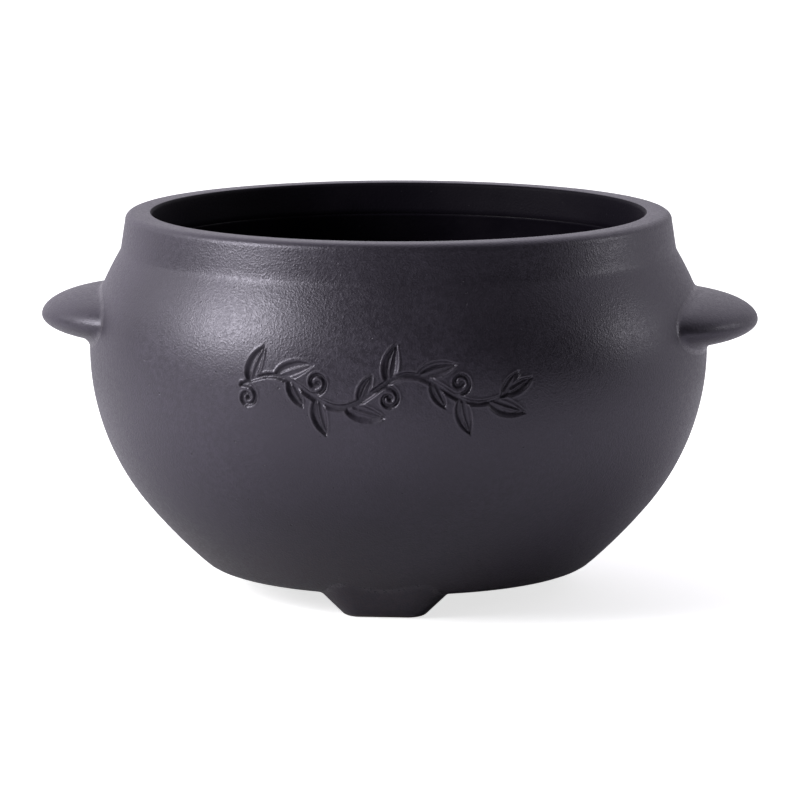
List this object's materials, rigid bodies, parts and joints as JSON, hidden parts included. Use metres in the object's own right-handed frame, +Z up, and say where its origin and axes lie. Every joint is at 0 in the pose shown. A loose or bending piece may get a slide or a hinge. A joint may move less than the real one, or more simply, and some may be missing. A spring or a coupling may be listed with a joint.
{
  "type": "sand pot",
  "caption": "Round-bellied stoneware cooking pot with a wide thick lip, two half-moon side lugs and short splayed feet, open at the top and glazed inside.",
  "frame": {"origin": "on the pot's axis, in the plane that its feet stand on", "axes": "+Z up along the pot's axis, +X towards the right lug, -Y towards the front foot"},
  "size_m": [0.2872, 0.247, 0.1515],
  "materials": {
    "dark_stoneware": "satin, fine sandy grain, purplish charcoal",
    "liner_glaze": "semi-gloss, nearly black"
  },
  "bodies": {
    "root": {"pot_body": "dark_stoneware", "lug_left": "dark_stoneware", "lug_right": "dark_stoneware", "foot_front": "dark_stoneware", "foot_rear_right": "dark_stoneware", "foot_rear_left": "dark_stoneware", "inner_glaze": "liner_glaze"}
  },
  "joints": []
}
